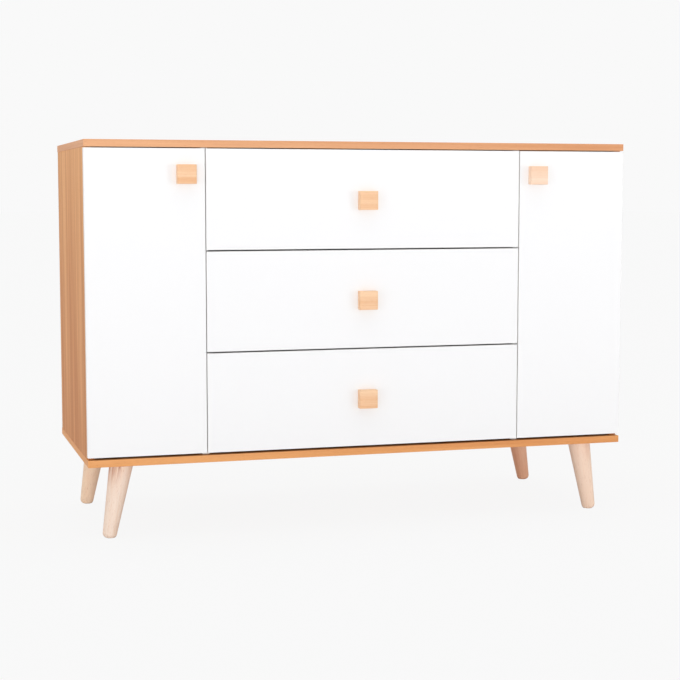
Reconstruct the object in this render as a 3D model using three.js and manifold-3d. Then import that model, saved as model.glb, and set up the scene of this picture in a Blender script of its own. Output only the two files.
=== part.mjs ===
// Sideboard buffet: wood-effect carcass on four splayed legs, a door each side,
// three drawers between them. Millimetres, +Z up, front towards -Y, floor at Z = 0.
import * as THREE from 'three';
import { mergeVertices } from 'three/addons/utils/BufferGeometryUtils.js';
import { RoundedBoxGeometry } from 'three/addons/geometries/RoundedBoxGeometry.js';
import Module from 'manifold-3d';

const wasm = await Module();
wasm.setup();

// Overall sizes
const WIDTH = 1200;
const HEIGHT = 830;
const BODY_DEPTH = 480;
const LEG_HEIGHT = 158;
const BOARD = 15;
const KNOB_SIZE = 40;
const KNOB_DEPTH = 16;
const KNOB_ROUND = 1.5;

// Front layout
const DIVIDER_X = 350;
const DRAWER_GAP = 3;
const DOOR_GAP = 2;
const TOP_GAP = 2;
const BASE_GAP = 5;
const FRONT_CLEARANCE = 2;
const KNOB_FROM_EDGE = 40;
const KNOB_FROM_TOP = 53;
const KNOB_DROP = 2.5;

// Depth positions
const OVERALL_DEPTH = BODY_DEPTH + KNOB_DEPTH;
const FRONT_Y = KNOB_DEPTH - OVERALL_DEPTH / 2;
const BACK_Y = OVERALL_DEPTH / 2;
const PANEL_RECESS = 8;
const THIN_PANEL = 3;
const SIDE_FRONT_Y = FRONT_Y + BOARD + FRONT_CLEARANCE;
const SIDE_BACK_Y = BACK_Y - PANEL_RECESS - THIN_PANEL;

// Height positions
const INNER_BOTTOM = LEG_HEIGHT + BOARD;
const INNER_TOP = HEIGHT - BOARD;
const FRONT_BOTTOM = INNER_BOTTOM + BASE_GAP;
const FRONT_TOP = INNER_TOP - TOP_GAP;

// Legs, measured where their axes meet the floor
const LEG_INSET_X = 48;
const LEG_INSET_Y = 50;
const LEG_TILT = THREE.MathUtils.degToRad(10);
const LEG_TOP_RADIUS = 25;
const LEG_FOOT_RADIUS = 15;
const LEG_SEGMENTS = 40;
const LEG_TOP_PLAY = 0.3;
const LEG_SPARE = 30;
const FOOT_ROUND = 10;
const FOOT_SWEEP = THREE.MathUtils.degToRad(85);
const FOOT_STEPS = 5;
const FOOT_SINK = 1.3;

// Shelves
const SHELF_Z = 487;
const SHELF_PLAY = 1;
const SHELF_SETBACK = 25;

// Drawer boxes
const SLIDE_SPACE = 12.5;
const BOX_WALL = 12;
const BOX_HEIGHT = 140;
const BOX_LIFT = 22;
const BOX_LENGTH = 430;
const GROOVE_LIFT = 10;
const GROOVE_DEPTH = 5;
const GROOVE_PLAY = 0.3;
const BACK_DROP = 8;

// Drawer slides, heights measured from the underside of the drawer wall
const STEEL = 1.2;
const ROLLER_RADIUS = 6;
const ROLLER_Z = 8.5;
const ROLLER_FROM_END = 12;
const RAIL_SETBACK = 3;
const RAIL_FOOT = 10;
const RAIL_HEIGHT = 16;
const RAIL_REACH = 9;
const RAIL_ROLLER_LENGTH = 7.8;
const RAIL_ROLLER_OUT = 5;
const CHANNEL_BASE = 0.8;
const CHANNEL_HEIGHT = 31.2;
const CHANNEL_LIP = 3;
const CHANNEL_TOP_LIP = 6;
const CHANNEL_ROLLER_LENGTH = 8.6;

// Concealed hinges, measured from the outer side face and the side board's front edge
const HINGE_FROM_END = 100;
const CUP_CENTRE = 22;
const CUP_RADIUS = 17.5;
const CUP_DEPTH = 11.5;
const CUP_WALL = 1;
const BORE_PLAY = 0.3;
const ARM_PIVOT = new THREE.Vector2(30.5, 5);
const DOOR_PIVOT = new THREE.Vector2(9.5, -6);
const LINK_BULGE = 9.6;
const LINK_HALF = 1.2;
const LINK_WIDTH = 10;
const ARM_KNUCKLE = 2;
const CUP_KNUCKLE = 1.8;
const PIN_RADIUS = 1.5;
const ARM_PIN_LENGTH = 17;
const CUP_PIN_LENGTH = 14;
const RIM_WIDTH = 1.3;
const FLANGE = 1;
const EAR_HALF_WIDTH = 7;
const EAR_REACH = 27;
const ARM_TIP_RADIUS = 4;
const ARM_NECK_Y = 14;
const ARM_FOOT_Y = 26;
const ARM_END_Y = 74;
const ARM_END_X = 33;
const ARM_SINK = 0.5;
const CHEEK_PLAY = 1.8;
const PLATE = 2;
const PLATE_HALF_WIDTH = 9;
const PLATE_ENDS = [30, 80];
const WING_REACH = 25;
const WING_ENDS = [46, 64];

const finish = (color, roughness, metalness = 0) =>
  new THREE.MeshStandardMaterial({ color, roughness, metalness });

const woodBoard = finish(0xd9a06c, 0.55);
const frontWhite = finish(0xfcfcfd, 0.35);
const innerWhite = finish(0xf3f2ef, 0.5);
const knobWood = finish(0xf3c79c, 0.5);
const legWood = finish(0xf0d8c2, 0.5);
const steel = finish(0xb8babd, 0.35, 1);

const sideboard = new THREE.Group();
sideboard.name = 'sideboard';

function add(name, geometry, material) {
  const mesh = new THREE.Mesh(geometry, material);
  mesh.name = name;
  sideboard.add(mesh);
  return mesh;
}

// A box between two opposite corners.
function block(low, high) {
  const size = high.map((value, i) => value - low[i]);
  const centre = high.map((value, i) => (value + low[i]) / 2);
  return new THREE.BoxGeometry(...size).translate(...centre);
}

function solid(geometry) {
  const bare = geometry.clone();
  bare.deleteAttribute('normal');
  bare.deleteAttribute('uv');
  const merged = mergeVertices(bare, 1e-4);
  return new wasm.Manifold(new wasm.Mesh({
    numProp: 3,
    vertProperties: merged.attributes.position.array,
    triVerts: new Uint32Array(merged.index.array),
  }));
}

function fromSolid(manifold) {
  const mesh = manifold.getMesh();
  const geometry = new THREE.BufferGeometry();
  geometry.setAttribute('position', new THREE.BufferAttribute(mesh.vertProperties, 3));
  geometry.setIndex(new THREE.BufferAttribute(mesh.triVerts, 1));
  geometry.computeVertexNormals();
  return geometry;
}

const join = (...geometries) =>
  fromSolid(geometries.map(solid).reduce((whole, piece) => whole.add(piece)));
const cut = (geometry, ...tools) =>
  fromSolid(tools.map(solid).reduce((whole, tool) => whole.subtract(tool), solid(geometry)));

// A section drawn in X and Z, pushed along Y.
function alongY(shape, yFront, yBack) {
  const options = { depth: yBack - yFront, bevelEnabled: false };
  return new THREE.ExtrudeGeometry(shape, options).rotateX(Math.PI / 2).translate(0, yBack, 0);
}

// A plan drawn in X and Y, pushed along Z about the middle.
function alongZ(shape, height) {
  const options = { depth: height, bevelEnabled: false, curveSegments: 20 };
  return new THREE.ExtrudeGeometry(shape, options).translate(0, 0, -height / 2);
}

const cylinderX = (radius, length, segments = 24) =>
  new THREE.CylinderGeometry(radius, radius, length, segments).rotateZ(Math.PI / 2);
const cylinderY = (radius, length, segments = 48) =>
  new THREE.CylinderGeometry(radius, radius, length, segments);
const cylinderZ = (radius, length, segments = 24) =>
  new THREE.CylinderGeometry(radius, radius, length, segments).rotateX(Math.PI / 2);

// An outline through the given corners; a sign of -1 mirrors it in X.
const outline = (points, sign = 1) =>
  new THREE.Shape(points.map(([x, y]) => new THREE.Vector2(sign * x, y)));

const SIDES = [
  { label: 'left', sign: -1 },
  { label: 'right', sign: 1 },
];
const LEVELS = ['bottom', 'middle', 'top'];

// Boards

function carcass() {
  const half = WIDTH / 2;
  const fullBoard = (z) => block([-half, FRONT_Y, z], [half, BACK_Y, z + BOARD]);
  add('top_panel', fullBoard(HEIGHT - BOARD), woodBoard);
  add('bottom_panel', fullBoard(LEG_HEIGHT), woodBoard);

  const upright = block(
    [-BOARD / 2, SIDE_FRONT_Y, INNER_BOTTOM],
    [BOARD / 2, SIDE_BACK_Y, INNER_TOP],
  );
  for (const { label, sign } of SIDES) {
    add(`side_panel_${label}`, upright, woodBoard).position.x = sign * (half - BOARD / 2);
    add(`divider_${label}`, upright, innerWhite).position.x = sign * DIVIDER_X;
  }
  add('back_panel', block(
    [-half, SIDE_BACK_Y, INNER_BOTTOM],
    [half, SIDE_BACK_Y + THIN_PANEL, INNER_TOP],
  ), innerWhite);
}

function shelves() {
  const inner = WIDTH / 2 - BOARD - SHELF_PLAY;
  const outer = DIVIDER_X + BOARD / 2 + SHELF_PLAY;
  const shelf = block(
    [outer, SIDE_FRONT_Y + SHELF_SETBACK, SHELF_Z],
    [inner, SIDE_BACK_Y - SHELF_PLAY, SHELF_Z + BOARD],
  );
  const shift = outer + inner;
  add('shelf_right', shelf, innerWhite);
  add('shelf_left', shelf, innerWhite).position.x = -shift;
}

// A turned leg, tilted outwards, cut level with the floor and the bottom board.
function legs() {
  const length = LEG_HEIGHT / Math.cos(LEG_TILT);
  const flare = (LEG_TOP_RADIUS - LEG_FOOT_RADIUS) / length;
  const profile = [new THREE.Vector2(0, -FOOT_SINK)];
  for (let step = 0; step <= FOOT_STEPS; step += 1) {
    const angle = (step / FOOT_STEPS - 1) * FOOT_SWEEP;
    profile.push(new THREE.Vector2(
      LEG_FOOT_RADIUS - FOOT_ROUND * (1 - Math.cos(angle)),
      FOOT_ROUND * (1 + Math.sin(angle)) - FOOT_SINK,
    ));
  }
  profile.push(
    new THREE.Vector2(LEG_TOP_RADIUS, length),
    new THREE.Vector2(LEG_TOP_RADIUS + flare * LEG_SPARE, length + LEG_SPARE),
    new THREE.Vector2(0, length + LEG_SPARE),
  );
  const turned = new THREE.LatheGeometry(profile, LEG_SEGMENTS)
    .rotateX(Math.PI / 2)
    .rotateY(LEG_TILT);
  const room = block(
    [-LEG_HEIGHT, -LEG_HEIGHT, 0],
    [LEG_HEIGHT, LEG_HEIGHT, LEG_HEIGHT - LEG_TOP_PLAY],
  );
  const trimmed = fromSolid(solid(turned).intersect(solid(room)));
  const ends = [
    { end: 'front', y: FRONT_Y + LEG_INSET_Y },
    { end: 'back', y: BACK_Y - LEG_INSET_Y },
  ];
  for (const { label, sign } of SIDES) {
    for (const { end, y } of ends) {
      const leg = add(`leg_${end}_${label}`, trimmed, legWood);
      leg.rotation.z = sign > 0 ? Math.PI : 0;
      leg.position.set(sign * (WIDTH / 2 - LEG_INSET_X), y, 0);
    }
  }
}

// Fronts and knobs

function knob(name, x, z) {
  const shape = new RoundedBoxGeometry(KNOB_SIZE, KNOB_DEPTH, KNOB_SIZE, 2, KNOB_ROUND);
  add(name, shape, knobWood).position.set(x, FRONT_Y - KNOB_DEPTH / 2, z);
}

const hingeHeights = {
  lower: FRONT_BOTTOM + HINGE_FROM_END,
  upper: FRONT_TOP - HINGE_FROM_END,
};

function doors() {
  const outer = WIDTH / 2;
  const inner = DIVIDER_X + DOOR_GAP / 2;
  const boreDepth = CUP_DEPTH + BORE_PLAY;
  for (const { label, sign } of SIDES) {
    const edges = [sign * outer, sign * inner].sort((a, b) => a - b);
    const panel = block(
      [edges[0], FRONT_Y, FRONT_BOTTOM],
      [edges[1], FRONT_Y + BOARD, FRONT_TOP],
    );
    const bores = Object.values(hingeHeights).map((z) =>
      cylinderY(CUP_RADIUS, boreDepth + 1).translate(
        sign * (outer - CUP_CENTRE),
        FRONT_Y + BOARD - boreDepth + (boreDepth + 1) / 2,
        z,
      ));
    add(`door_${label}`, cut(panel, ...bores), frontWhite);
    knob(`door_knob_${label}`, sign * (inner + KNOB_FROM_EDGE), FRONT_TOP - KNOB_FROM_TOP);
  }
}

// Concealed hinges, drawn for the left door with x inwards and y from the side's front edge.

function hingeArm() {
  const { x: ax, y: ay } = ARM_PIVOT;
  const plateFace = BOARD + PLATE;
  const neckX = ax + ARM_TIP_RADIUS;
  const cheek = new THREE.Shape();
  cheek.moveTo(plateFace - ARM_SINK, ARM_FOOT_Y);
  cheek.lineTo(ax - ARM_TIP_RADIUS, ay);
  cheek.absarc(ax, ay, ARM_TIP_RADIUS, Math.PI, 0, false);
  cheek.lineTo(neckX, ARM_NECK_Y);
  cheek.lineTo(ARM_END_X, ARM_END_Y);
  cheek.lineTo(plateFace - ARM_SINK, ARM_END_Y);
  const eye = new THREE.Path();
  eye.absarc(ax, ay, PIN_RADIUS + BORE_PLAY, 0, 2 * Math.PI, true);
  cheek.holes.push(eye);
  const side = alongZ(cheek, STEEL);
  const offset = LINK_WIDTH / 2 + CHEEK_PLAY;
  const web = outline([
    [neckX - STEEL, ARM_NECK_Y],
    [neckX, ARM_NECK_Y],
    [ARM_END_X, ARM_END_Y],
    [ARM_END_X - STEEL, ARM_END_Y],
  ]);
  const onSide = ([front, back], reach) => block([BOARD, front, -reach], [plateFace, back, reach]);
  return join(
    side.clone().translate(0, 0, offset),
    side.clone().translate(0, 0, -offset),
    alongZ(web, 2 * offset + STEEL),
    onSide(PLATE_ENDS, PLATE_HALF_WIDTH),
    onSide(WING_ENDS, WING_REACH),
  );
}

function hingeLink() {
  const chord = ARM_PIVOT.clone().sub(DOOR_PIVOT);
  const span = chord.length();
  const radius = (span * span / 4 + LINK_BULGE ** 2) / (2 * LINK_BULGE);
  const outward = new THREE.Vector2(chord.y, -chord.x).divideScalar(span);
  const middle = ARM_PIVOT.clone().add(DOOR_PIVOT).multiplyScalar(0.5);
  const centre = middle.addScaledVector(outward, LINK_BULGE - radius);
  const angleOf = (point) => Math.atan2(point.y - centre.y, point.x - centre.x);
  const start = angleOf(DOOR_PIVOT);
  const stop = angleOf(ARM_PIVOT);
  const strip = new THREE.Shape();
  strip.absarc(centre.x, centre.y, radius + LINK_HALF, start, stop, false);
  strip.absarc(centre.x, centre.y, radius - LINK_HALF, stop, start, true);
  const at = (point, geometry) => geometry.translate(point.x, point.y, 0);
  return join(
    alongZ(strip, LINK_WIDTH),
    at(ARM_PIVOT, cylinderZ(ARM_KNUCKLE, LINK_WIDTH)),
    at(DOOR_PIVOT, cylinderZ(CUP_KNUCKLE, LINK_WIDTH)),
    at(ARM_PIVOT, cylinderZ(PIN_RADIUS, ARM_PIN_LENGTH)),
    at(DOOR_PIVOT, cylinderZ(PIN_RADIUS, CUP_PIN_LENGTH)),
  );
}

function hingeCup() {
  const face = -FRONT_CLEARANCE;
  const top = face + FLANGE;
  const outer = CUP_RADIUS - BORE_PLAY;
  const overall = CUP_DEPTH + FLANGE;
  const place = (geometry, y) => geometry.translate(CUP_CENTRE, y, 0);
  const body = place(cylinderY(outer, overall), top - overall / 2);
  const rim = place(cylinderY(CUP_RADIUS + RIM_WIDTH, FLANGE), face + FLANGE / 2);
  const ears = block(
    [CUP_CENTRE - EAR_HALF_WIDTH, face, -EAR_REACH],
    [CUP_CENTRE + EAR_HALF_WIDTH, top, EAR_REACH],
  );
  const hollow = place(cylinderY(outer - CUP_WALL, overall), top + CUP_WALL - overall / 2);
  return cut(join(body, rim, ears), hollow);
}

function hinges() {
  const pieces = [
    ['hinge_arm', hingeArm()],
    ['hinge_link', hingeLink()],
    ['hinge_cup', hingeCup()],
  ];
  for (const { label, sign } of SIDES) {
    for (const [level, z] of Object.entries(hingeHeights)) {
      for (const [piece, geometry] of pieces) {
        const mesh = add(`${piece}_${level}_${label}`, geometry, steel);
        mesh.position.set(sign * WIDTH / 2, SIDE_FRONT_Y, z);
        mesh.rotation.y = sign > 0 ? Math.PI : 0;
      }
    }
  }
}

// Drawers

const BOX_HALF = DIVIDER_X - BOARD / 2 - SLIDE_SPACE;
const BOX_FRONT_Y = FRONT_Y + BOARD;
const BOX_BACK_Y = BOX_FRONT_Y + BOX_LENGTH;

// The side wall's section from the outer face inwards, grooved for the bottom.
function drawerWall(sign) {
  const inside = BOX_HALF - BOX_WALL;
  const grooveTop = GROOVE_LIFT + THIN_PANEL + GROOVE_PLAY;
  const section = outline([
    [inside, 0],
    [BOX_HALF, 0],
    [BOX_HALF, BOX_HEIGHT],
    [inside, BOX_HEIGHT],
    [inside, grooveTop],
    [inside + GROOVE_DEPTH, grooveTop],
    [inside + GROOVE_DEPTH, GROOVE_LIFT],
    [inside, GROOVE_LIFT],
  ], sign);
  return alongY(section, BOX_FRONT_Y, BOX_BACK_Y);
}

// Steel runner under the drawer wall, with its roller at the back.
function drawerRail(sign) {
  const section = outline([
    [BOX_HALF - RAIL_FOOT, -STEEL],
    [BOX_HALF + STEEL, -STEEL],
    [BOX_HALF + STEEL, RAIL_HEIGHT - STEEL],
    [BOX_HALF + RAIL_REACH, RAIL_HEIGHT - STEEL],
    [BOX_HALF + RAIL_REACH, RAIL_HEIGHT],
    [BOX_HALF, RAIL_HEIGHT],
    [BOX_HALF, 0],
    [BOX_HALF - RAIL_FOOT, 0],
  ], sign);
  const roller = cylinderX(ROLLER_RADIUS, RAIL_ROLLER_LENGTH)
    .translate(sign * (BOX_HALF + RAIL_ROLLER_OUT), BOX_BACK_Y - ROLLER_FROM_END, ROLLER_Z);
  return join(alongY(section, BOX_FRONT_Y + RAIL_SETBACK, BOX_BACK_Y), roller);
}

// Steel channel on the divider, with its roller at the front.
function cabinetRail(sign) {
  const wall = BOX_HALF + SLIDE_SPACE;
  const section = outline([
    [BOX_HALF + CHANNEL_LIP, CHANNEL_BASE],
    [wall, CHANNEL_BASE],
    [wall, CHANNEL_HEIGHT],
    [BOX_HALF + CHANNEL_TOP_LIP, CHANNEL_HEIGHT],
    [BOX_HALF + CHANNEL_TOP_LIP, CHANNEL_HEIGHT - STEEL],
    [wall - STEEL, CHANNEL_HEIGHT - STEEL],
    [wall - STEEL, CHANNEL_BASE + STEEL],
    [BOX_HALF + CHANNEL_LIP, CHANNEL_BASE + STEEL],
  ], sign);
  const rollerX = wall - STEEL / 2 - CHANNEL_ROLLER_LENGTH / 2;
  const roller = cylinderX(ROLLER_RADIUS, CHANNEL_ROLLER_LENGTH)
    .translate(sign * rollerX, SIDE_FRONT_Y + ROLLER_FROM_END, ROLLER_Z);
  return join(alongY(section, SIDE_FRONT_Y + RAIL_SETBACK, BOX_BACK_Y), roller);
}

function drawers() {
  const gaps = DRAWER_GAP * (LEVELS.length - 1);
  const frontHeight = (FRONT_TOP - FRONT_BOTTOM - gaps) / LEVELS.length;
  const frontHalf = DIVIDER_X - DOOR_GAP / 2;
  const inside = BOX_HALF - BOX_WALL;
  const front = block([-frontHalf, FRONT_Y, 0], [frontHalf, BOX_FRONT_Y, frontHeight]);
  const back = block(
    [-inside, BOX_BACK_Y - BOX_WALL, GROOVE_LIFT + THIN_PANEL + GROOVE_PLAY],
    [inside, BOX_BACK_Y, BOX_HEIGHT - BACK_DROP],
  );
  const panelHalf = inside + GROOVE_DEPTH - GROOVE_PLAY;
  const panelZ = GROOVE_LIFT + GROOVE_PLAY / 2;
  const bottom = block(
    [-panelHalf, BOX_FRONT_Y, panelZ],
    [panelHalf, BOX_BACK_Y, panelZ + THIN_PANEL],
  );
  const flanks = SIDES.map(({ label, sign }) => ({
    label,
    wall: drawerWall(sign),
    rail: drawerRail(sign),
    channel: cabinetRail(sign),
  }));
  LEVELS.forEach((level, row) => {
    const z = FRONT_BOTTOM + row * (frontHeight + DRAWER_GAP);
    const boxZ = z + BOX_LIFT;
    add(`drawer_front_${level}`, front, frontWhite).position.z = z;
    knob(`drawer_knob_${level}`, 0, z + frontHeight / 2 - KNOB_DROP);
    add(`drawer_back_${level}`, back, innerWhite).position.z = boxZ;
    add(`drawer_bottom_${level}`, bottom, innerWhite).position.z = boxZ;
    for (const { label, wall, rail, channel } of flanks) {
      add(`drawer_side_${level}_${label}`, wall, innerWhite).position.z = boxZ;
      add(`drawer_rail_${level}_${label}`, rail, steel).position.z = boxZ;
      add(`cabinet_rail_${level}_${label}`, channel, steel).position.z = boxZ;
    }
  });
}

carcass();
shelves();
legs();
doors();
hinges();
drawers();

export default sideboard;
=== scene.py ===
import math

import bmesh
import bpy
from mathutils import Matrix, Vector


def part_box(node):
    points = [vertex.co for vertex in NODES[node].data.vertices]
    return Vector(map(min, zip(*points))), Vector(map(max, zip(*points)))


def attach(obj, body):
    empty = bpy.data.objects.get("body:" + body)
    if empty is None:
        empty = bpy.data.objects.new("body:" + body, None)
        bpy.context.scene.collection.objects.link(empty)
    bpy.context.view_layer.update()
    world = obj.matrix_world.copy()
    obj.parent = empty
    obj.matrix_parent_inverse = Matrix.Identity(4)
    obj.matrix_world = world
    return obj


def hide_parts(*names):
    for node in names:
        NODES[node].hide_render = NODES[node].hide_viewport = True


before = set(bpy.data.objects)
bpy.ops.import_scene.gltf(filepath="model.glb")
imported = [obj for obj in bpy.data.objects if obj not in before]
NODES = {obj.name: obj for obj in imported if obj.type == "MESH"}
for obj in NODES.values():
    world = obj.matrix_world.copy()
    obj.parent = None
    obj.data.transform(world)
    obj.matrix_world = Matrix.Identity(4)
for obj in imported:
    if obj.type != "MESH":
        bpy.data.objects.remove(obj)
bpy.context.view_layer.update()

SIDES = (("left", -1), ("right", 1))
LEVELS = ("bottom", "middle", "top")
HINGES = ("lower", "upper")
MM = 0.001

# Places read from the frame, in metres. The cabinet is the same on both sides.

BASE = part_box("bottom_panel")
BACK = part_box("back_panel")
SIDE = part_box("side_panel_right")
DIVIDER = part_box("divider_right")
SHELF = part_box("shelf_right")
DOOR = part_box("door_right")
FRONT_Y = DOOR[0].y
FRONT_BACK_Y = DOOR[1].y


def centre_of(node):
    low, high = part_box(node)
    return (low + high) / 2


def add_object(name, data):
    added = bpy.data.objects.new(name, data)
    bpy.context.scene.collection.objects.link(added)
    return added


# Camera

CAMERA_LENS = 81.95
CAMERA_SENSOR = 36
CAMERA_REACH = 200
CAMERA_STAND = Vector((-0.993, FRONT_Y - 3.161, 0.720))
CAMERA_TURN = math.radians(16.44)
CAMERA_TIP = math.radians(5.40)


def place_camera():
    data = bpy.data.cameras.new("camera")
    data.lens = CAMERA_LENS
    data.sensor_width = CAMERA_SENSOR
    data.clip_end = CAMERA_REACH
    camera = add_object("camera", data)
    camera.location = CAMERA_STAND
    camera.rotation_euler = (math.pi / 2 - CAMERA_TIP, 0, -CAMERA_TURN)
    bpy.context.scene.camera = camera


# Node helpers

NOISE_LOW, NOISE_HIGH = 0.3, 0.7  # most of a noise lies between these
FLAT_ON = 0.7  # a face looks along an axis when its normal passes this


def linear(red, green, blue):
    """A colour given on the usual 0 to 255 scale, as linear light."""
    def straighten(value):
        value /= 255
        return value / 12.92 if value <= 0.04045 else ((value + 0.055) / 1.055) ** 2.4
    return (straighten(red), straighten(green), straighten(blue), 1.0)


def fill(tree, node, inputs):
    """Links each input to a socket, or sets it to a constant."""
    for name, value in inputs.items():
        if isinstance(value, bpy.types.NodeSocket):
            tree.links.new(value, node.inputs[name])
        else:
            node.inputs[name].default_value = value


def put(tree, kind, inputs=None, **settings):
    """Adds a node, sets its settings, then fills its inputs."""
    node = tree.nodes.new(kind)
    for name, value in settings.items():
        setattr(node, name, value)
    fill(tree, node, inputs or {})
    return node


def clear_nodes(owner):
    """Switches a material or a world to nodes and empties its tree."""
    owner.use_nodes = True
    owner.node_tree.nodes.clear()
    return owner.node_tree


def math_node(tree, operation, first, second=0.0, clamp=False):
    settings = {"operation": operation, "use_clamp": clamp}
    return put(tree, "ShaderNodeMath", {0: first, 1: second}, **settings).outputs[0]


def spread(tree, value, low, high, to_low=0.0, to_high=1.0):
    inputs = {
        "Value": value,
        "From Min": low,
        "From Max": high,
        "To Min": to_low,
        "To Max": to_high,
    }
    return put(tree, "ShaderNodeMapRange", inputs).outputs["Result"]


def spread_noise(tree, noise, to_low=0.0, to_high=1.0):
    return spread(tree, noise, NOISE_LOW, NOISE_HIGH, to_low, to_high)


def blend_colour(tree, amount, first, second):
    inputs = {0: amount, 6: first, 7: second}
    return put(tree, "ShaderNodeMix", inputs, data_type="RGBA").outputs[2]


def stretched_noise(tree, vector, scale, detail=2.0, roughness=0.5):
    scaled = put(tree, "ShaderNodeVectorMath", {0: vector, 1: scale}, operation="MULTIPLY")
    inputs = {"Vector": scaled.outputs[0], "Scale": 1.0, "Detail": detail, "Roughness": roughness}
    return put(tree, "ShaderNodeTexNoise", inputs).outputs["Fac"]


def start_group(name, inputs, outputs):
    """A shader node group with named inputs and outputs."""
    tree = bpy.data.node_groups.new(name, "ShaderNodeTree")
    for label, kind, value in inputs:
        socket = tree.interface.new_socket(label, in_out="INPUT", socket_type="NodeSocket" + kind)
        if value is not None:
            socket.default_value = value
    for label, kind in outputs:
        tree.interface.new_socket(label, in_out="OUTPUT", socket_type="NodeSocket" + kind)
    source = tree.nodes.new("NodeGroupInput")
    sink = tree.nodes.new("NodeGroupOutput")
    return tree, source.outputs, sink.inputs


def use_group(tree, group, inputs=None):
    node = put(tree, "ShaderNodeGroup", node_tree=group)
    fill(tree, node, inputs or {})
    return node


# Shared effects

def foil_lay_group(name, along):
    """Which way printed foil runs on a board: X of the result goes along the grain."""
    tree, _, sink = start_group(name, [], [("Vector", "Vector")])
    place = put(tree, "ShaderNodeTexCoord")
    at = put(tree, "ShaderNodeSeparateXYZ", {0: place.outputs["Object"]}).outputs
    facing = put(tree, "ShaderNodeSeparateXYZ", {0: place.outputs["Normal"]}).outputs
    if along == "Z":
        across = math_node(tree, "ADD", at["X"], at["Y"])
        lay = put(tree, "ShaderNodeCombineXYZ", {"X": at["Z"], "Y": across})
        tree.links.new(lay.outputs[0], sink["Vector"])
        return tree
    end_face = math_node(tree, "GREATER_THAN", math_node(tree, "ABSOLUTE", facing["X"]), FLAT_ON)
    across = math_node(tree, "ADD", at["Y"], at["Z"])
    face = put(tree, "ShaderNodeCombineXYZ", {"X": at["X"], "Y": across}).outputs[0]
    edge = put(tree, "ShaderNodeCombineXYZ", {"X": at["Y"], "Y": at["Z"]}).outputs[0]
    pick = put(tree, "ShaderNodeMix", {0: end_face, 4: face, 5: edge}, data_type="VECTOR")
    tree.links.new(pick.outputs[1], sink["Vector"])
    return tree


def wood_figure_group():
    """Bands, fine streaks and short flecks, all drawn out along X."""
    tree, source, sink = start_group(
        "wood_figure",
        [
            ("Vector", "Vector", None),
            ("Light", "Color", (0.8, 0.6, 0.4, 1)),
            ("Dark", "Color", (0.6, 0.4, 0.2, 1)),
            ("Fleck", "Color", (0.5, 0.3, 0.15, 1)),
            ("Band Strength", "Float", 0.6),
            ("Streak Strength", "Float", 0.4),
            ("Fleck Strength", "Float", 0.35),
            ("Deepen", "Float", 0.0),
        ],
        [("Color", "Color"), ("Roughness", "Float"), ("Height", "Float")],
    )
    vector = source["Vector"]
    bands = spread(tree, stretched_noise(tree, vector, (1.1, 34, 34), 3.0), 0.34, 0.66)
    streaks = spread_noise(tree, stretched_noise(tree, vector, (5, 260, 260), 4.0, 0.6))
    fibre = stretched_noise(tree, vector, (30, 1500, 1500), 2.0)
    flecks = spread(tree, stretched_noise(tree, vector, (75, 1100, 1100), 1.0), 0.62, 0.74)
    banded = math_node(tree, "MULTIPLY", bands, source["Band Strength"])
    streaked = math_node(tree, "MULTIPLY", streaks, source["Streak Strength"])
    drawn = math_node(tree, "ADD", banded, streaked)
    figure = math_node(tree, "ADD", drawn, source["Deepen"], clamp=True)
    body = blend_colour(tree, figure, source["Light"], source["Dark"])
    marked = math_node(tree, "MULTIPLY", flecks, source["Fleck Strength"])
    tree.links.new(blend_colour(tree, marked, body, source["Fleck"]), sink["Color"])
    tree.links.new(spread(tree, fibre, 0.2, 0.8, 0.44, 0.56), sink["Roughness"])
    relief = math_node(tree, "SUBTRACT", math_node(tree, "ADD", streaks, fibre), flecks)
    tree.links.new(relief, sink["Height"])
    return tree


def fine_pebble_group():
    """The faint pebble of a pressed melamine face, with its cloudy gloss."""
    tree, source, sink = start_group(
        "fine_pebble",
        [("Face", "Color", (0.9, 0.9, 0.9, 1)), ("Edge", "Color", (0.9, 0.9, 0.9, 1))],
        [("Color", "Color"), ("Roughness", "Float"), ("Height", "Float")],
    )
    place = put(tree, "ShaderNodeTexCoord")
    facing = put(tree, "ShaderNodeSeparateXYZ", {0: place.outputs["Normal"]}).outputs
    flat = math_node(tree, "GREATER_THAN", math_node(tree, "ABSOLUTE", facing["Y"]), FLAT_ON)
    tree.links.new(blend_colour(tree, flat, source["Edge"], source["Face"]), sink["Color"])
    at = place.outputs["Object"]
    clouds = stretched_noise(tree, at, (9, 9, 9), 3.0)
    grit = stretched_noise(tree, at, (1300, 1300, 1300), 2.0, 0.6)
    gloss = math_node(tree, "ADD", spread_noise(tree, clouds, 0.3, 0.38),
                      spread_noise(tree, grit, 0.0, 0.06))
    tree.links.new(gloss, sink["Roughness"])
    tree.links.new(grit, sink["Height"])
    return tree


def rolled_metal_group():
    """Rolling lines and a soft plated mottle on sheet steel."""
    tree, source, sink = start_group(
        "rolled_metal",
        [("Light", "Color", (0.8, 0.8, 0.8, 1)), ("Dark", "Color", (0.5, 0.5, 0.5, 1))],
        [("Color", "Color"), ("Roughness", "Float"), ("Height", "Float")],
    )
    at = put(tree, "ShaderNodeTexCoord").outputs["Object"]
    lines = stretched_noise(tree, at, (900, 14, 900), 3.0, 0.6)
    mottle = stretched_noise(tree, at, (160, 160, 160), 2.0)
    mixed = math_node(tree, "MULTIPLY", math_node(tree, "ADD", lines, mottle), 0.5)
    shade = spread(tree, mixed, 0.35, 0.65)
    tree.links.new(blend_colour(tree, shade, source["Dark"], source["Light"]), sink["Color"])
    tree.links.new(spread_noise(tree, lines, 0.24, 0.4), sink["Roughness"])
    tree.links.new(lines, sink["Height"])
    return tree


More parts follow.
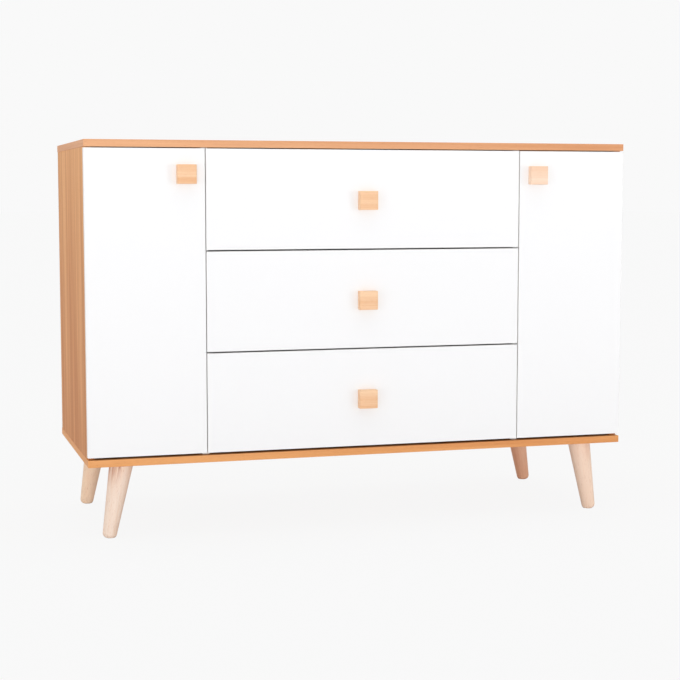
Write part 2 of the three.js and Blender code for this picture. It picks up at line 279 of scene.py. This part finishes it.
def moulded_grain_group():
    """The very fine grain that a mould leaves on plastic."""
    tree, source, sink = start_group(
        "moulded_grain",
        [("Light", "Color", (0.9, 0.9, 0.9, 1)), ("Dark", "Color", (0.8, 0.8, 0.8, 1))],
        [("Color", "Color"), ("Roughness", "Float"), ("Height", "Float")],
    )
    at = put(tree, "ShaderNodeTexCoord").outputs["Object"]
    grain = stretched_noise(tree, at, (1900, 1900, 1900), 2.0)
    tree.links.new(blend_colour(tree, grain, source["Light"], source["Dark"]), sink["Color"])
    tree.links.new(spread_noise(tree, grain, 0.36, 0.5), sink["Roughness"])
    tree.links.new(grain, sink["Height"])
    return tree


LEG_TILT = math.radians(10)
SHADE_LOW, SHADE_HIGH = 48 * MM, 8 * MM  # below the bottom board, where the painted shade under it fades in
SHADE_IN, SHADE_OUT = 2 * MM, 9 * MM  # out from the leg's axis, where it fades in


def under_board_shade_group():
    """Painted shade in streaks near a leg's top, just under the bottom board, on its outer half;
    Side is -1 left, 1 right.
    """
    tree, source, sink = start_group(
        "under_board_shade_mask",
        [
            ("Place", "Vector", None),
            ("Lay", "Vector", None),
            ("Side", "Float", 1.0),
            ("Foot X", "Float", 0.0),
            ("Strength", "Float", 0.5),
        ],
        [("Mask", "Float")],
    )
    place = put(tree, "ShaderNodeSeparateXYZ", {0: source["Place"]}).outputs
    lean = math_node(tree, "MULTIPLY", place["Z"], -math.tan(LEG_TILT))
    axis_x = math_node(tree, "ADD", math_node(tree, "MULTIPLY", lean, source["Side"]),
                       source["Foot X"])
    off_axis = math_node(tree, "SUBTRACT", place["X"], axis_x)
    outward = math_node(tree, "MULTIPLY", off_axis, source["Side"])
    outer = spread(tree, outward, SHADE_IN, SHADE_OUT)
    near_top = spread(tree, place["Z"], BASE[0].z - SHADE_LOW, BASE[0].z - SHADE_HIGH)
    noise = stretched_noise(tree, source["Lay"], (9, 120, 120), 3.0)
    streaks = spread(tree, noise, 0.36, 0.58)
    mask = math_node(tree, "MULTIPLY", math_node(tree, "MULTIPLY", near_top, outer), streaks)
    tree.links.new(math_node(tree, "MULTIPLY", mask, source["Strength"]), sink["Mask"])
    return tree


# Making materials

FOOT_REACH = 15.2 * MM  # from a foot's outer edge to its axis
# Painted shade under the bottom board, in the brown of beech in shade.
PAINTED_SHADE_BROWN = linear(188, 116, 76)
LEG_FLECK = linear(214, 168, 138)
KNOB_FINENESS = 2.2
FOIL_PAINTED_SHADE = (-0.25, 0.35)  # painted shade added to the print at the top and at the foot: lighter at the top, darker at the foot


def start_material(name):
    made = bpy.data.materials.new(name)
    tree = clear_nodes(made)
    shader = tree.nodes.new("ShaderNodeBsdfPrincipled")
    put(tree, "ShaderNodeOutputMaterial", {"Surface": shader.outputs[0]})
    return made, tree, shader.inputs


def raise_surface(tree, shader, height, strength, distance):
    inputs = {"Strength": strength, "Distance": distance, "Height": height}
    bump = put(tree, "ShaderNodeBump", inputs)
    tree.links.new(bump.outputs[0], shader["Normal"])


def finish_from(tree, shader, effect, strength, distance):
    tree.links.new(effect.outputs["Color"], shader["Base Color"])
    tree.links.new(effect.outputs["Roughness"], shader["Roughness"])
    raise_surface(tree, shader, effect.outputs["Height"], strength, distance)


def beech_foil(name, lay, light, dark, fleck, shade_by_height=False):
    """Printed foil; the height flag adds painted shade, deepening its print from the top of the
    cabinet down.
    """
    made, tree, shader = start_material(name)
    painted_shade = 0.0
    if shade_by_height:
        at = put(tree, "ShaderNodeTexCoord").outputs["Object"]
        height = put(tree, "ShaderNodeSeparateXYZ", {0: at}).outputs["Z"]
        painted_shade = spread(tree, height, SIDE[1].z, SIDE[0].z, *FOIL_PAINTED_SHADE)
    effect = use_group(tree, FIGURE, {
        "Vector": use_group(tree, lay).outputs[0],
        "Light": light,
        "Dark": dark,
        "Fleck": fleck,
        "Band Strength": 0.75,
        "Streak Strength": 0.3,
        "Fleck Strength": 0.4,
        "Deepen": painted_shade,
    })
    finish_from(tree, shader, effect, 0.12, 0.0002)
    shader["Specular IOR Level"].default_value = 0.2
    return made


def solid_beech(name, lay_turn, light, dark, fleck, fineness=1.0, under_board_shade=None):
    """Sanded beech, its grain along X once turned by lay_turn; the last argument places painted
    brown shade in streaks just under the bottom board.
    """
    made, tree, shader = start_material(name)
    at = put(tree, "ShaderNodeTexCoord").outputs["Object"]
    turned = {"Vector": at, "Rotation": lay_turn, "Scale": (1, fineness, fineness)}
    lay = put(tree, "ShaderNodeMapping", turned).outputs[0]
    effect = use_group(tree, FIGURE, {
        "Vector": lay,
        "Light": light,
        "Dark": dark,
        "Fleck": fleck,
        "Band Strength": 0.7,
        "Streak Strength": 0.45,
        "Fleck Strength": 0.55,
    })
    finish_from(tree, shader, effect, 0.16, 0.0002)
    # Painted brown shade in streaks, just under the bottom board.
    if under_board_shade:
        mask = use_group(tree, UNDER_BOARD_SHADE, {"Place": at, "Lay": lay, **under_board_shade}).outputs["Mask"]
        colour = blend_colour(tree, mask, effect.outputs["Color"], PAINTED_SHADE_BROWN)
        tree.links.new(colour, shader["Base Color"])
    shader["Specular IOR Level"].default_value = 0.35
    return made


def leg_beech(end, label, light, dark, shade_strength):
    sign = dict(SIDES)[label]
    low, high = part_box(f"leg_{end}_{label}")
    foot_x = (low.x if sign < 0 else high.x) - sign * FOOT_REACH
    # Painted shade in streaks on the leg's outer half, just under the bottom board.
    under_board_shade = {"Side": sign, "Foot X": foot_x, "Strength": shade_strength}
    lay_turn = (0, math.pi / 2 + sign * LEG_TILT, 0)
    return solid_beech(f"leg_beech_{end}_{label}", lay_turn, light, dark, LEG_FLECK, under_board_shade=under_board_shade)


def melamine(name, face, edge):
    made, tree, shader = start_material(name)
    effect = use_group(tree, PEBBLE, {"Face": face, "Edge": edge})
    finish_from(tree, shader, effect, 0.06, 0.0001)
    shader["Specular IOR Level"].default_value = 0.45
    return made


def hardboard():
    """White foil towards the room inside, raw brown fibre on the back and edges."""
    made, tree, shader = start_material("hardboard")
    place = put(tree, "ShaderNodeTexCoord")
    facing = put(tree, "ShaderNodeSeparateXYZ", {0: place.outputs["Normal"]}).outputs["Y"]
    foil = math_node(tree, "LESS_THAN", facing, -0.5)
    at = place.outputs["Object"]
    fibre = stretched_noise(tree, at, (420, 420, 420), 4.0, 0.7)
    blotch = stretched_noise(tree, at, (14, 14, 14), 3.0)
    mixed = math_node(tree, "ADD", spread_noise(tree, fibre, 0, 0.7),
                      spread_noise(tree, blotch, 0, 0.3))
    raw = blend_colour(tree, mixed, linear(150, 112, 78), linear(184, 146, 106))
    tree.links.new(blend_colour(tree, foil, raw, linear(240, 239, 236)), shader["Base Color"])
    tree.links.new(spread(tree, foil, 0, 1, 0.75, 0.45), shader["Roughness"])
    raise_surface(tree, shader, fibre, 0.25, 0.0002)
    return made


def plated_steel(name, light, dark):
    made, tree, shader = start_material(name)
    effect = use_group(tree, METAL, {"Light": light, "Dark": dark})
    finish_from(tree, shader, effect, 0.08, 0.0001)
    shader["Metallic"].default_value = 1.0
    return made


def moulded_plastic(name, light, dark):
    made, tree, shader = start_material(name)
    effect = use_group(tree, MOULDING, {"Light": light, "Dark": dark})
    finish_from(tree, shader, effect, 0.08, 0.0001)
    return made


# The materials

LAY_X = foil_lay_group("foil_lay_along_x", "X")
LAY_Z = foil_lay_group("foil_lay_along_z", "Z")
FIGURE = wood_figure_group()
PEBBLE = fine_pebble_group()
METAL = rolled_metal_group()
MOULDING = moulded_grain_group()
UNDER_BOARD_SHADE = under_board_shade_group()

foil_top = beech_foil(
    "beech_foil_top", LAY_X, linear(238, 182, 138), linear(214, 150, 106), linear(194, 126, 82))
foil_base = beech_foil(
    "beech_foil_base", LAY_X, linear(240, 174, 113), linear(214, 140, 82), linear(192, 116, 62))
# The side boards carry painted shade: lighter at the top, darker towards the foot.
foil_side = beech_foil(
    "beech_foil_side", LAY_Z, linear(240, 179, 119), linear(200, 126, 66), linear(180, 106, 52),
    shade_by_height=True)
knob_beech = solid_beech(
    "knob_beech", (0, 0, 0), linear(252, 216, 180), linear(236, 183, 138), linear(214, 150, 104),
    KNOB_FINENESS)
knob_pale = solid_beech(
    "knob_beech_pale", (0, 0, 0), linear(251, 224, 202), linear(243, 204, 174),
    linear(226, 178, 142), KNOB_FINENESS)

# Light tone, dark tone and strength of the painted shade under the bottom board, for each leg.
# The back right leg's darker, redder tones are partly its own tone and partly painted shade from
# the body above it.
LEG_TONES_AND_SHADE = {
    ("front", "left"): (linear(253, 234, 219), linear(245, 210, 183), 0.9),
    ("front", "right"): (linear(255, 234, 216), linear(251, 220, 197), 0.25),
    ("back", "left"): (linear(255, 234, 210), linear(252, 221, 192), 0.3),
    ("back", "right"): (linear(240, 196, 166), linear(224, 168, 136), 0.5),
}
leg_woods = {place: leg_beech(*place, *tones) for place, tones in LEG_TONES_AND_SHADE.items()}

front_white = melamine("front_white", linear(247, 247, 248), linear(242, 241, 239))
inner_white = melamine("inner_white", linear(240, 240, 238), linear(236, 235, 232))
back_board = hardboard()
zinc = plated_steel("zinc_plate", linear(206, 208, 210), linear(170, 173, 177))
nickel = plated_steel("nickel_plate", linear(214, 212, 206), linear(182, 180, 174))
cap_plastic = moulded_plastic("cap_plastic", linear(236, 234, 228), linear(222, 219, 212))
bumper_plastic = moulded_plastic("bumper_plastic", linear(226, 228, 228), linear(208, 210, 211))


# Finishing the carried-over parts

# Each kind of edge: how far it is rounded, and in how many steps.
BOARD_EDGE = (0.9 * MM, 3)
UPRIGHT_EDGE = (0.7 * MM, 3)
SHELF_EDGE = (0.8 * MM, 3)
FRONT_EDGE = (1.0 * MM, 3)
LEG_EDGE = (0.8 * MM, 3)
DRAWER_WALL_EDGE = (0.6 * MM, 2)
DRAWER_FLOOR_EDGE = (0.2 * MM, 1)
HARDBOARD_EDGE = (0.3 * MM, 1)
RAIL_EDGE = (0.25 * MM, 2)
HINGE_EDGE = (0.3 * MM, 2)

WELD_REACH = 0.01 * MM
FLAT_ANGLE = math.radians(1)
ROUNDED_ANGLE = math.radians(35)


def dress(node, material, edge, drilled=False):
    """Gives a node its material and rounded edges; a drilled board's flats are joined first."""
    piece = NODES[node]
    piece.data.materials.clear()
    piece.data.materials.append(material)
    for polygon in piece.data.polygons:
        polygon.use_smooth = True
    weld = piece.modifiers.new("weld", "WELD")
    weld.merge_threshold = WELD_REACH
    if drilled:
        flats = piece.modifiers.new("joined_flats", "DECIMATE")
        flats.decimate_type = "DISSOLVE"
        flats.angle_limit = FLAT_ANGLE
    bevel = piece.modifiers.new("rounded_edge", "BEVEL")
    bevel.width, bevel.segments = edge
    bevel.limit_method = "ANGLE"
    bevel.angle_limit = ROUNDED_ANGLE
    even = piece.modifiers.new("even_shading", "WEIGHTED_NORMAL")
    even.mode = "FACE_AREA"


def dress_boards():
    dress("top_panel", foil_top, BOARD_EDGE)
    dress("bottom_panel", foil_base, BOARD_EDGE)
    dress("back_panel", back_board, HARDBOARD_EDGE)
    for label, _ in SIDES:
        dress(f"side_panel_{label}", foil_side, UPRIGHT_EDGE)
        dress(f"divider_{label}", inner_white, UPRIGHT_EDGE)
        dress(f"shelf_{label}", inner_white, SHELF_EDGE)
        dress(f"door_{label}", front_white, FRONT_EDGE, drilled=True)


def dress_drawers():
    for level in LEVELS:
        dress(f"drawer_front_{level}", front_white, FRONT_EDGE)
        dress(f"drawer_back_{level}", inner_white, DRAWER_WALL_EDGE)
        dress(f"drawer_bottom_{level}", inner_white, DRAWER_FLOOR_EDGE)
        for label, _ in SIDES:
            dress(f"drawer_side_{level}_{label}", inner_white, DRAWER_WALL_EDGE)
            dress(f"drawer_rail_{level}_{label}", zinc, RAIL_EDGE)
            dress(f"cabinet_rail_{level}_{label}", zinc, RAIL_EDGE)


def dress_hinges():
    for level in HINGES:
        for label, _ in SIDES:
            for piece in ("hinge_arm", "hinge_link", "hinge_cup"):
                dress(f"{piece}_{level}_{label}", nickel, HINGE_EDGE)


def dress_legs():
    for (end, label), wood in leg_woods.items():
        dress(f"leg_{end}_{label}", wood, LEG_EDGE)


# Building new pieces

def make_object(name, mesh, material, body):
    for polygon in mesh.polygons:
        polygon.use_smooth = True
    mesh.materials.append(material)
    piece = add_object(name, mesh)
    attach(piece, body)
    return piece


def turned_form(profile, segments=24):
    """A closed solid of revolution about Z from (radius, height) points, ends on the axis."""
    form = bmesh.new()
    rings = []
    for radius, height in profile:
        if radius == 0:
            rings.append([form.verts.new((0, 0, height))])
            continue
        steps = (2 * math.pi * i / segments for i in range(segments))
        rings.append([form.verts.new((radius * math.cos(a), radius * math.sin(a), height))
                      for a in steps])
    for lower, upper in zip(rings, rings[1:]):
        for i in range(segments):
            j = (i + 1) % segments
            corners = [lower[i % len(lower)], lower[j % len(lower)],
                       upper[j % len(upper)], upper[i % len(upper)]]
            form.faces.new(dict.fromkeys(corners))
    return form


def prism_form(outline, low, high):
    """A closed prism on an outline in X and Y, from low to high."""
    form = bmesh.new()
    floor = [form.verts.new((x, y, low)) for x, y in outline]
    roof = [form.verts.new((x, y, high)) for x, y in outline]
    form.faces.new(reversed(floor))
    form.faces.new(roof)
    for i in range(len(outline)):
        j = (i + 1) % len(outline)
        form.faces.new((floor[i], floor[j], roof[j], roof[i]))
    return form


def to_mesh(name, form):
    mesh = bpy.data.meshes.new(name)
    bmesh.ops.recalc_face_normals(form, faces=form.faces)
    form.to_mesh(mesh)
    form.free()
    return mesh


def carved_mesh(name, body_form, tool_form):
    """The body with the tool cut out of it, as a plain mesh."""
    body = add_object(name, to_mesh(name, body_form))
    tool = add_object(name + "_tool", to_mesh(name + "_tool", tool_form))
    cutter = body.modifiers.new("recess", "BOOLEAN")
    cutter.operation = "DIFFERENCE"
    cutter.solver = "EXACT"
    cutter.object = tool
    shape = body.evaluated_get(bpy.context.evaluated_depsgraph_get())
    mesh = bpy.data.meshes.new_from_object(shape)
    bpy.data.objects.remove(body)
    bpy.data.objects.remove(tool)
    return mesh


def cross_outline(reach, half):
    """A cross of four arms, drawn anticlockwise."""
    corner = [(reach, -half), (reach, half), (half, half)]
    points = []
    for quarter in range(4):
        turn = Matrix.Rotation(quarter * math.pi / 2, 2)
        points += [tuple(turn @ Vector(point)) for point in corner]
    return points


def regular_outline(sides, reach):
    return [(reach * math.cos(2 * math.pi * i / sides), reach * math.sin(2 * math.pi * i / sides))
            for i in range(sides)]


def fitting_meshes():
    """Small fittings, standing on Z = 0 with their heads towards +Z; profiles in millimetres."""
    pan = [(0, -0.6), (3.4, -0.6), (3.5, 0.3), (3.3, 1.1), (2.5, 1.8), (1.2, 2.1), (0, 2.15)]
    flat = [(0, -0.4), (2.9, -0.4), (3.0, 0.15), (2.8, 0.5), (1.4, 0.8), (0, 0.85)]
    cam = [(0, -0.4), (7.2, -0.4), (7.3, 0.1), (7.0, 0.45), (6.6, 0.5), (0, 0.5)]
    bolt = [(0, -0.4), (4.9, -0.4), (5.0, 0.05), (4.7, 0.35), (0, 0.4)]
    nail = [(0, -0.3), (2.2, -0.3), (2.3, 0.1), (1.9, 0.4), (0, 0.55)]
    cap = [(0, -0.3), (8.3, -0.3), (8.4, 0.1), (7.9, 0.6), (6.2, 0.95), (0, 1.0)]
    bumper = [(0, -0.2), (2.9, -0.2), (3.0, 0.5), (2.7, 1.3), (1.9, 1.7), (0, 1.8)]
    pin = [(0, -0.5), (2.5, -0.5), (2.5, 0.0), (3.4, 0.05), (3.4, 1.0), (2.5, 1.1), (2.5, 7.4),
           (2.1, 8.0), (0, 8.1)]

    above_heads = 4

    def scaled(points):
        return [(first * MM, second * MM) for first, second in points]

    def turned(name, profile, segments=24):
        return to_mesh(name, turned_form(scaled(profile), segments))

    def carved(name, profile, outline, floor):
        """The fitting with a drive recess cut into its head, down to floor."""
        tool = prism_form(scaled(outline), floor * MM, above_heads * MM)
        return carved_mesh(name, turned_form(scaled(profile)), tool)

    return {
        "pan_screw": carved("pan_screw", pan, cross_outline(1.7, 0.35), 0.7),
        "flat_screw": carved("flat_screw", flat, cross_outline(1.6, 0.32), 0.15),
        "cam": carved("cam", cam, cross_outline(3.6, 0.8), 0.05),
        "bolt": carved("bolt", bolt, regular_outline(6, 2.3), 0.0),
        "nail": turned("nail", nail, 16),
        "cap": turned("cap", cap, 32),
        "bumper": turned("bumper", bumper),
        "pin": turned("pin", pin),
    }


FITTINGS = fitting_meshes()


def set_of(name, fitting, places, facing, material, body):
    """One piece made of a fitting repeated at each place, its head towards facing."""
    turn = Vector((0, 0, 1)).rotation_difference(Vector(facing)).to_matrix().to_4x4()
    form = bmesh.new()
    for place in places:
        copy = FITTINGS[fitting].copy()
        copy.transform(Matrix.Translation(Vector(place)) @ turn)
        form.from_mesh(copy)
        bpy.data.meshes.remove(copy)
    return make_object(name, to_mesh(name, form), material, body)


# Knobs

KNOB_CORNER = 1.3 * MM
KNOB_CORNER_STEPS = 5
KNOB_CORNER_SHAPE = 0.55
KNOB_CROWN = 0.5 * MM
KNOB_FACE_CUTS = 6
KNOB_FACE_DEPTH = 0.1 * MM  # points this near the front plane belong to the face


def settle_faces(form):
    """Puts the faces in one fixed order, which bevelling and cutting leave to chance."""
    form.verts.index_update()
    settled = sorted(form.faces, key=lambda face: [corner.index for corner in face.verts])
    for place, face in enumerate(settled):
        face.index = place
    form.faces.sort()


def knob_mesh(name, low, high):
    """A square block with eased edges and a face sanded very slightly crowned."""
    form = bmesh.new()
    bmesh.ops.create_cube(form, size=1)
    size = high - low
    centre = (low + high) / 2
    bmesh.ops.scale(form, vec=size, verts=form.verts)
    bmesh.ops.bevel(form, geom=form.edges[:], offset=KNOB_CORNER, segments=KNOB_CORNER_STEPS,
                    profile=KNOB_CORNER_SHAPE, affect="EDGES")
    long_edges = [edge for edge in form.edges if edge.calc_length() > size.y / 2]
    bmesh.ops.subdivide_edges(form, edges=long_edges, cuts=KNOB_FACE_CUTS, use_grid_fill=True)
    for vertex in form.verts:
        if vertex.co.y < -size.y / 2 + KNOB_FACE_DEPTH:
            reach = max(abs(vertex.co.x), abs(vertex.co.z)) / (size.x / 2)
            vertex.co.y += KNOB_CROWN * reach ** 3
    bmesh.ops.translate(form, vec=centre, verts=form.verts)
    settle_faces(form)
    return to_mesh(name, form)


def add_knobs():
    places = [(f"door_knob_{label}", f"door_{label}") for label, _ in SIDES]
    places += [(f"drawer_knob_{level}", f"drawer_{level}") for level in LEVELS]
    for node, body in places:
        low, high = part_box(node)
        wood = knob_pale if node == "door_knob_right" else knob_beech
        piece = make_object("wood_" + node, knob_mesh(node, low, high), wood, body)
        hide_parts(node)
        middle = (low + high) / 2
        set_of(f"{node}_screw", "pan_screw", [(middle.x, FRONT_BACK_Y, middle.z)], (0, 1, 0),
               zinc, body)


# Small fittings on the cabinet

FITTING_Y = (FRONT_BACK_Y + 70 * MM, BACK[0].y - 90 * MM)
CAM_INSET = 34 * MM
PIN_DROP = 2.5 * MM
PIN_FROM_END = 40 * MM
NAIL_INSET = 7.5 * MM
NAIL_FROM_END = 50 * MM
NAILS_ACROSS = 11
NAILS_UP = 6


def evenly(low, high, count):
    return [low + (high - low) * i / (count - 1) for i in range(count)]


def upright_faces(sign):
    """The faces inside a door's bay: the side board's and the divider's, each with its facing."""
    return (SIDE[0].x, -sign), (DIVIDER[1].x, sign)


def add_caps():
    """Plastic caps over the cams that hold the uprights to the top and bottom boards."""
    heights = (SIDE[0].z + CAM_INSET, SIDE[1].z - CAM_INSET)
    for label, sign in SIDES:
        for node, (x, way) in zip(("side", "divider"), upright_faces(sign)):
            places = [(sign * x, y, z) for y in FITTING_Y for z in heights]
            set_of(f"{node}_caps_{label}", "cap", places, (way, 0, 0), cap_plastic, "cabinet")


def add_shelf_pins():
    rows = (SHELF[0].y + PIN_FROM_END, SHELF[1].y - PIN_FROM_END)
    for label, sign in SIDES:
        for end, (x, way) in zip(("outer", "inner"), upright_faces(sign)):
            places = [(sign * x, y, SHELF[0].z - PIN_DROP) for y in rows]
            set_of(f"shelf_pins_{end}_{label}", "pin", places, (way, 0, 0), nickel, "cabinet")


def add_back_nails():
    low, high = BACK
    across = evenly(low.x + NAIL_INSET, high.x - NAIL_INSET, NAILS_ACROSS)
    upward = evenly(low.z + NAIL_FROM_END, high.z - NAIL_FROM_END, NAILS_UP)
    divider_x = centre_of("divider_right").x
    uprights = (across[0], -divider_x, divider_x, across[-1])
    places = [(x, high.y, z) for x in uprights for z in upward]
    places += [(x, high.y, z) for x in across[1:-1]
               for z in (low.z + NAIL_INSET, high.z - NAIL_INSET)]
    set_of("back_panel_nails", "nail", places, (0, 1, 0), zinc, "cabinet")


def add_base_bolts():
    columns = [sign * centre_of(node).x for node in ("side_panel_right", "divider_right")
               for sign in (-1, 1)]
    places = [(x, y, BASE[0].z) for x in columns for y in FITTING_Y]
    set_of("base_bolts", "bolt", places, (0, 0, -1), zinc, "cabinet")


# Hinge and runner screws

CUP_SCREW_OFF = 22.5 * MM  # above and below a cup's centre
PLATE_SCREW_OFF = 19 * MM  # above and below a mounting plate's middle
PLATE_THICK = 2 * MM
PLATE_FROM_ARM_END = 25 * MM
ARM_FACE = 33.9 * MM  # from the cabinet's outer side to the arm's inner face
SETTING_SCREWS = (-25 * MM, -2 * MM)  # along the arm, from the plate screws

RUNNER_STEEL = 1.2 * MM
RAIL_SCREW_FROM_END = 40 * MM
RAIL_SCREW_UP = 22 * MM
RUNNER_SCREW_FROM_END = 50 * MM
RUNNER_SCREW_UP = 7 * MM
SCREWS_IN_RAIL = 3


def add_hinge_screws():
    for level in HINGES:
        for label, sign in SIDES:
            cup = centre_of(f"hinge_cup_{level}_{label}")
            cup_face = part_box(f"hinge_cup_{level}_{label}")[1].y
            places = [(cup.x, cup_face, cup.z + off) for off in (-CUP_SCREW_OFF, CUP_SCREW_OFF)]
            set_of(f"cup_screws_{level}_{label}", "flat_screw", places, (0, 1, 0), nickel,
                   f"door_{label}")
            plate_face = sign * (SIDE[0].x - PLATE_THICK)
            plate_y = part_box(f"hinge_arm_{level}_{label}")[1].y - PLATE_FROM_ARM_END
            places = [(plate_face, plate_y, cup.z + off)
                      for off in (-PLATE_SCREW_OFF, PLATE_SCREW_OFF)]
            set_of(f"plate_screws_{level}_{label}", "flat_screw", places, (-sign, 0, 0), nickel,
                   "cabinet")
            arm_face = sign * (SIDE[1].x - ARM_FACE)
            places = [(arm_face, plate_y + along, cup.z) for along in SETTING_SCREWS]
            set_of(f"setting_screws_{level}_{label}", "flat_screw", places, (-sign, 0, 0), nickel,
                   "cabinet")


def add_runner_screws():
    for level in LEVELS:
        for label, sign in SIDES:
            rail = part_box(f"cabinet_rail_{level}_right")
            web = sign * (DIVIDER[0].x - RUNNER_STEEL)
            rows = evenly(rail[0].y + RAIL_SCREW_FROM_END, rail[1].y - RAIL_SCREW_FROM_END,
                          SCREWS_IN_RAIL)
            places = [(web, y, rail[0].z + RAIL_SCREW_UP) for y in rows]
            set_of(f"rail_screws_{level}_{label}", "flat_screw", places, (-sign, 0, 0), zinc,
                   "cabinet")
            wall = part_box(f"drawer_side_{level}_right")
            web = sign * (wall[1].x + RUNNER_STEEL)
            rows = evenly(wall[0].y + RUNNER_SCREW_FROM_END, wall[1].y - RUNNER_SCREW_FROM_END,
                          SCREWS_IN_RAIL)
            places = [(web, y, wall[0].z + RUNNER_SCREW_UP) for y in rows]
            set_of(f"runner_screws_{level}_{label}", "flat_screw", places, (sign, 0, 0), zinc,
                   f"drawer_{level}")


# Fittings on the drawers and fronts

CORNER_FIXINGS_UP = (45 * MM, 105 * MM)
DRAWER_CAM_FROM_FRONT = 24 * MM
BUMPER_INSET = 3 * MM
BUMPER_FROM_END = 20 * MM


def add_drawer_fittings():
    for level in LEVELS:
        body = f"drawer_{level}"
        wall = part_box(f"drawer_side_{level}_right")
        cam_y = wall[0].y + DRAWER_CAM_FROM_FRONT
        screw_y = centre_of(f"drawer_back_{level}").y
        for label, sign in SIDES:
            places = [(sign * wall[0].x, cam_y, wall[0].z + up) for up in CORNER_FIXINGS_UP]
            set_of(f"drawer_cams_{level}_{label}", "cam", places, (-sign, 0, 0), zinc, body)
            places = [(sign * wall[1].x, screw_y, wall[0].z + up) for up in CORNER_FIXINGS_UP]
            set_of(f"drawer_screws_{level}_{label}", "flat_screw", places, (sign, 0, 0), zinc,
                   body)


def add_bumpers():
    """Soft stops on the backs of the fronts, where they close against the dividers."""
    low, high = DOOR
    for label, sign in SIDES:
        places = [(sign * (low.x + BUMPER_INSET), FRONT_BACK_Y, z)
                  for z in (low.z + BUMPER_FROM_END, high.z - BUMPER_FROM_END)]
        set_of(f"door_bumpers_{label}", "bumper", places, (0, 1, 0), bumper_plastic,
               f"door_{label}")
    for level in LEVELS:
        low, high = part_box(f"drawer_front_{level}")
        places = [(x, FRONT_BACK_Y, high.z - BUMPER_FROM_END)
                  for x in (low.x + BUMPER_INSET, high.x - BUMPER_INSET)]
        set_of(f"drawer_bumpers_{level}", "bumper", places, (0, 1, 0), bumper_plastic,
               f"drawer_{level}")


# Stage and light

BACKDROP = linear(249, 249, 249)
FLOOR_RADIUS = 60
FLOOR_THICK = 20 * MM
FLOOR_SEGMENTS = 64
FLOOR_GREY = 0.74
FLOOR_SEEN_GREY = 0.04
FLOOR_SEEN_GLOW = 0.905
ROOM_GLOW = 0.68

# Name, bearing from the front towards +X, height, strength and how wide the light spreads.
LAMPS = (
    ("key_light", -17, 0, 1.18, 8),
    ("left_lamp", -57, 0, 0.34, 2),
    ("right_lamp", 51, 0, 0.46, 2),
    ("overhead_softbox", 0, 90, 0.9, 60),
)


def seen_or_felt(tree, seen, felt):
    """Shows one shader to the camera and another to everything the light bounces off."""
    path = put(tree, "ShaderNodeLightPath")
    shaders = {0: path.outputs["Is Camera Ray"], 1: felt, 2: seen}
    return put(tree, "ShaderNodeMixShader", shaders).outputs[0]


def plain_shader(tree, grey, glow):
    """A matt grey surface with some light of its own."""
    inputs = {
        "Base Color": (grey, grey, grey, 1),
        "Roughness": 1.0,
        "Specular IOR Level": 0.0,
        "Emission Color": (1, 1, 1, 1),
        "Emission Strength": glow,
    }
    return put(tree, "ShaderNodeBsdfPrincipled", inputs).outputs[0]


def pale_floor():
    """A studio floor that looks as bright as the backdrop but lights the object less."""
    made = bpy.data.materials.new("pale_floor")
    tree = clear_nodes(made)
    felt = plain_shader(tree, FLOOR_GREY, 0.0)
    seen = plain_shader(tree, FLOOR_SEEN_GREY, FLOOR_SEEN_GLOW)
    surface = seen_or_felt(tree, seen, felt)
    put(tree, "ShaderNodeOutputMaterial", {"Surface": surface})
    return made


def lay_floor():
    profile = [(0, -FLOOR_THICK), (FLOOR_RADIUS, -FLOOR_THICK), (FLOOR_RADIUS, 0), (0, 0)]
    floor = add_object("floor", to_mesh("floor", turned_form(profile, FLOOR_SEGMENTS)))
    floor.data.materials.append(pale_floor())


def light_room():
    world = bpy.data.worlds.new("room")
    bpy.context.scene.world = world
    tree = clear_nodes(world)
    seen = put(tree, "ShaderNodeBackground", {"Color": BACKDROP, "Strength": 1.0})
    felt = put(tree, "ShaderNodeBackground", {"Color": (1, 1, 1, 1), "Strength": ROOM_GLOW})
    surface = seen_or_felt(tree, seen.outputs[0], felt.outputs[0])
    put(tree, "ShaderNodeOutputWorld", {"Surface": surface})


def light_stage():
    light_room()
    for name, bearing, height, strength, width in LAMPS:
        data = bpy.data.lights.new(name, "SUN")
        data.energy = strength
        data.angle = math.radians(width)
        turn = (math.pi / 2 - math.radians(height), 0, math.radians(bearing))
        add_object(name, data).rotation_euler = turn


# Building the scene

bpy.context.scene.view_settings.view_transform = "Standard"
place_camera()
dress_boards()
dress_drawers()
dress_hinges()
dress_legs()
add_knobs()
add_caps()
add_shelf_pins()
add_back_nails()
add_base_bolts()
add_hinge_screws()
add_runner_screws()
add_drawer_fittings()
add_bumpers()
lay_floor()
light_stage()
